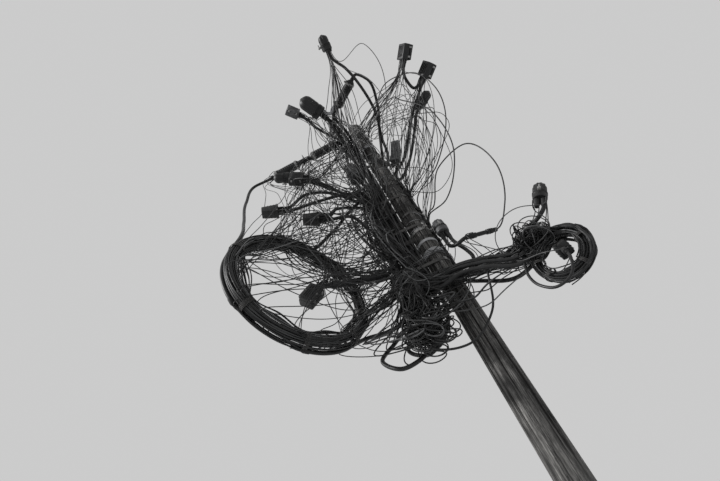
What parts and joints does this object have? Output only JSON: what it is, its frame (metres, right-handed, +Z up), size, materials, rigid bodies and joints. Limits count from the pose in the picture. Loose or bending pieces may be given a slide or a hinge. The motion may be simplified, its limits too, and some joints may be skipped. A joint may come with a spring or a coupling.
{
  "type": "wooden telephone pole",
  "caption": "Tapered wooden telephone pole with strapped cable bundles, splice closures, terminal boxes, brackets, hooks and slack cable coils.",
  "frame": {"origin": "middle of the pole's flat base face, at ground level", "axes": "+Z up along the pole, +Y away from the side seen in the picture, +X to the right of that side, the big slack coil at the left (-X)"},
  "size_m": [2.4192, 1.4302, 7],
  "materials": {
    "weathered_wood": "weathered, streaked along the grain",
    "zinc_steel": "dull zinc coat",
    "strap_steel": "dull dark grey",
    "closure_black": "satin, dusty",
    "closure_grey": "satin, weathered",
    "cable_sheath": "satin sheath with a soft highlight"
  },
  "bodies": {
    "root": {"pole_shaft": "weathered_wood", "top_through_bolt": "zinc_steel", "upper_through_bolt": "zinc_steel", "back_strand_clamp": "zinc_steel", "front_strand_clamp": "zinc_steel", "hook_band": "zinc_steel", "guy_hook": "zinc_steel", "drop_wire_hooks": "zinc_steel", "dome_bracket": "zinc_steel", "terminal_bracket": "zinc_steel", "round_closure_bracket": "zinc_steel", "bundle_straps": "strap_steel", "dome_closure_left": "closure_grey", "upright_terminal": "closure_grey", "round_closure_right": "closure_grey", "front_dome_closure": "closure_black", "front_inline_closure": "closure_black", "front_square_box": "closure_grey", "front_oval_closure": "closure_black", "square_boxes_right": "closure_black", "small_closure_right": "closure_black", "strand_inline_closures": "closure_black", "left_box_group": "closure_black", "tapered_boxes_left": "closure_black", "coil_closure": "closure_black", "small_inline_closures": "closure_black", "bundle_foot_box": "closure_black", "side_cluster_box": "closure_black", "side_closure": "closure_black", "side_bar": "closure_black", "dome_cables": "cable_sheath", "coil_feed_cables": "cable_sheath", "top_left_cables": "cable_sheath", "left_closure_cables": "cable_sheath", "ring_chord_cable": "cable_sheath", "back_cables": "cable_sheath", "side_bundle_cables": "cable_sheath", "strand_cables": "cable_sheath", "slack_coil": "cable_sheath", "side_coil": "cable_sheath", "spring_loop_high": "cable_sheath", "spring_loop_wide": "cable_sheath", "spring_loop_low": "cable_sheath", "hose_loop": "cable_sheath", "hanging_loop": "cable_sheath"}
  },
  "joints": []
}
